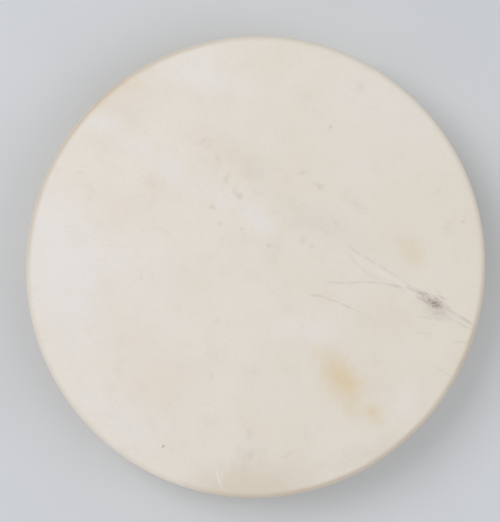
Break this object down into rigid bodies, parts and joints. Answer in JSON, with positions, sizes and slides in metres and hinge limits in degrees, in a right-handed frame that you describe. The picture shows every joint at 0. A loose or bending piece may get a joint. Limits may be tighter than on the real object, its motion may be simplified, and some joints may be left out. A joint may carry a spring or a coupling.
{
  "type": "frame drum",
  "caption": "Round rawhide hand drum on a bent wooden hoop, laced behind with rawhide to a steel ring with suede-bound hand grips.",
  "frame": {"origin": "on the surface that the drum lies on, under the middle of the hoop", "axes": "+Z out of the playing head; +Y to the top of the head as it is seen from in front, opposite the joint in the hoop; +X to its right"},
  "size_m": [0.4048, 0.4072, 0.067],
  "materials": {
    "rawhide": "scraped rawhide, dried taut, satin and faintly mottled",
    "hoop_wood": "sanded steam-bent ash, oiled",
    "copper": "hammered copper, dulled",
    "ring_steel": "plain welded steel, lightly worn",
    "lace": "twisted rawhide lace, dried hard",
    "suede": "soft brown suede strip, matt"
  },
  "bodies": {
    "root": {"drum_head": "rawhide", "hoop": "hoop_wood", "scarf_rivet_1": "copper", "scarf_rivet_2": "copper", "scarf_rivet_3": "copper", "scarf_rivet_4": "copper", "scarf_rivet_5": "copper", "scarf_rivet_6": "copper", "scarf_burr_1": "copper", "scarf_burr_2": "copper", "scarf_burr_3": "copper", "scarf_burr_4": "copper", "scarf_burr_5": "copper", "scarf_burr_6": "copper", "centre_ring": "ring_steel", "rawhide_lace": "lace", "lace_knot": "lace", "grip_wrap_1": "suede", "grip_wrap_2": "suede", "grip_wrap_3": "suede", "grip_wrap_4": "suede"}
  },
  "joints": []
}
